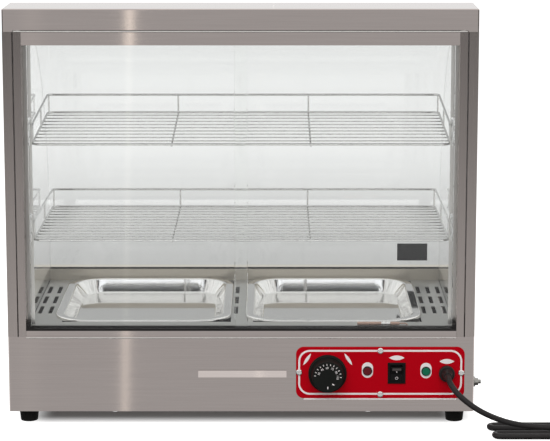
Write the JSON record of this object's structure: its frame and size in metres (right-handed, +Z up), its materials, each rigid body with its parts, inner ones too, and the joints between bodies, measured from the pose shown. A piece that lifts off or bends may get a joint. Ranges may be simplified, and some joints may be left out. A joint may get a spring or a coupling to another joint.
{
  "type": "heated display case",
  "caption": "Counter-top heated food display case with sliding glass doors, wire shelves, lift-out trays, a drip tray and a curved glass far side.",
  "frame": {"origin": "middle of the case's footprint, knob to far side, on the surface that it stands on", "axes": "+X to the operator's right along the width, +Y from the operator's side to the curved glass, +Z up"},
  "size_m": [0.9066, 0.56, 0.5924],
  "materials": {
    "brushed_steel": "brushed stainless sheet",
    "inner_steel": "plain stainless sheet",
    "polished_steel": "polished stainless",
    "wire_steel": "bright wire",
    "fastener_steel": "zinc-plated",
    "clear_glass": "clear toughened glass",
    "black_plastic": "moulded",
    "black_gloss": "moulded, smooth",
    "black_rubber": "matte",
    "cord_rubber": "smooth sheath",
    "red_paint": "gloss red enamel",
    "red_lens": "translucent",
    "green_lens": "translucent",
    "copper": "drawn tube",
    "element_steel": "heat-darkened sheath",
    "pale_plastic": "moulded",
    "dark_label": "blank plate"
  },
  "bodies": {
    "case": {"base_shell": "brushed_steel", "sill_frame": "brushed_steel", "post_left": "brushed_steel", "post_right": "brushed_steel", "frame_side_left": "brushed_steel", "frame_side_right": "brushed_steel", "frame_top": "brushed_steel", "frame_bottom": "brushed_steel", "top_cap": "brushed_steel", "base_cover": "inner_steel", "floor_plate": "inner_steel", "upright_left": "inner_steel", "upright_right": "inner_steel", "cap_liner": "inner_steel", "drip_guides": "inner_steel", "element_brackets": "inner_steel", "bulb_clip": "inner_steel", "cover_screws": "fastener_steel", "foot_screws": "fastener_steel", "panel_screws": "fastener_steel", "bond_stud": "fastener_steel", "bond_nuts": "fastener_steel", "side_glass_left": "clear_glass", "side_glass_right": "clear_glass", "bent_glass": "clear_glass", "track_bottom": "black_plastic", "track_top": "black_plastic", "track_stops": "black_plastic", "thermostat_body": "black_plastic", "cable_gland": "black_plastic", "gland_nut": "black_plastic", "plug": "black_plastic", "cord_tie": "black_plastic", "rocker_housing": "black_gloss", "feet": "black_rubber", "side_seals": "black_rubber", "rear_seal": "black_rubber", "top_seal": "black_rubber", "cord": "cord_rubber", "cord_hank": "cord_rubber", "control_panel": "red_paint", "lamp_red": "red_lens", "lamp_green": "green_lens", "capillary": "copper", "sensor_bulb": "copper", "element_left": "element_steel", "element_right": "element_steel", "terminal_block": "pale_plastic", "label_plate": "dark_label"},
    "door_left": {"door_left": "clear_glass"},
    "door_right": {"door_right": "clear_glass"},
    "dial": {"knob": "black_plastic", "thermostat_shaft": "fastener_steel"},
    "rocker": {"rocker_button": "black_gloss"},
    "drip_tray": {"drip_tray": "brushed_steel"},
    "tray_left": {"tray_left": "polished_steel"},
    "tray_right": {"tray_right": "polished_steel"},
    "shelf_upper": {"shelf_upper": "wire_steel"},
    "shelf_lower": {"shelf_lower": "wire_steel"}
  },
  "joints": [
    {"name": "door_left_slide", "type": "slide", "parent": "case", "child": "door_left", "axis": [1, 0, 0], "range_m": [0, 0.285]},
    {"name": "door_right_slide", "type": "slide", "parent": "case", "child": "door_right", "axis": [1, 0, 0], "range_m": [-0.285, 0]},
    {"name": "dial_turn", "type": "hinge", "parent": "case", "child": "dial", "pos_m": [0.11595, -0.1975, 0.0757], "axis": [0, 1, 0], "range_deg": [0, 270]},
    {"name": "rocker_press", "type": "hinge", "parent": "case", "child": "rocker", "pos_m": [0.21395, -0.1865, 0.0762], "axis": [-1, 0, 0], "range_deg": [0, 20]},
    {"name": "drip_tray_slide", "type": "slide", "parent": "case", "child": "drip_tray", "axis": [0, -1, 0], "range_m": [0, 0.22]},
    {"name": "tray_left_lift", "type": "slide", "parent": "case", "child": "tray_left", "axis": [0, 0, 1], "range_m": [0, 0.06]},
    {"name": "tray_right_lift", "type": "slide", "parent": "case", "child": "tray_right", "axis": [0, 0, 1], "range_m": [0, 0.06]},
    {"name": "shelf_upper_lift", "type": "slide", "parent": "case", "child": "shelf_upper", "axis": [0, 0, 1], "range_m": [0, 0.0076]},
    {"name": "shelf_lower_lift", "type": "slide", "parent": "case", "child": "shelf_lower", "axis": [0, 0, 1], "range_m": [0, 0.0076]}
  ]
}
